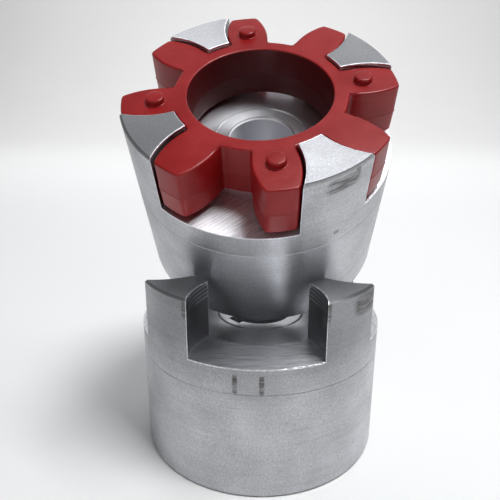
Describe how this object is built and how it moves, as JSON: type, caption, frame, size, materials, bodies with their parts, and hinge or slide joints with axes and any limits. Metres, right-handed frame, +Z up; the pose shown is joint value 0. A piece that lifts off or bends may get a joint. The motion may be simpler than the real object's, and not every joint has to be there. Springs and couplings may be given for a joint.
{
  "type": "jaw coupling",
  "caption": "Elastic jaw coupling with two turned aluminium jaw hubs and a red toothed spider, shown apart with one hub leaning in the jaws of the other.",
  "frame": {"origin": "centre of the lower hub's base, on its bore axis", "axes": "+Z up along the lower hub's bore, from its base to its jaws; -Y towards the front, to which the upper hub leans; +X to the right"},
  "size_m": [0.12, 0.1491, 0.209],
  "materials": {
    "aluminium": "turned, satin, with fine tool marks",
    "red_polyurethane": "moulded, semi-gloss",
    "black_steel": "black oxide"
  },
  "bodies": {
    "lower_hub_body": {"lower_hub": "aluminium"},
    "upper_hub_body": {"upper_hub": "aluminium"},
    "spider_body": {"spider": "red_polyurethane"},
    "lower_screw_body": {"lower_set_screw": "black_steel"},
    "upper_screw_body": {"upper_set_screw": "black_steel"}
  },
  "joints": [
    {"name": "hub_lift", "type": "slide", "parent": "lower_hub_body", "child": "upper_hub_body", "axis": [0, 0, 1], "range_m": [0, 0.08]},
    {"name": "spider_pull", "type": "slide", "parent": "upper_hub_body", "child": "spider_body", "axis": [0, -0.5793, 0.8151], "range_m": [0, 0.04]},
    {"name": "lower_screw_out", "type": "slide", "parent": "lower_hub_body", "child": "lower_screw_body", "axis": [0.7071, 0.7071, 0], "range_m": [0, 0.045]},
    {"name": "upper_screw_out", "type": "slide", "parent": "upper_hub_body", "child": "upper_screw_body", "axis": [0.848, 0.432, 0.307], "range_m": [0, 0.045]}
  ]
}
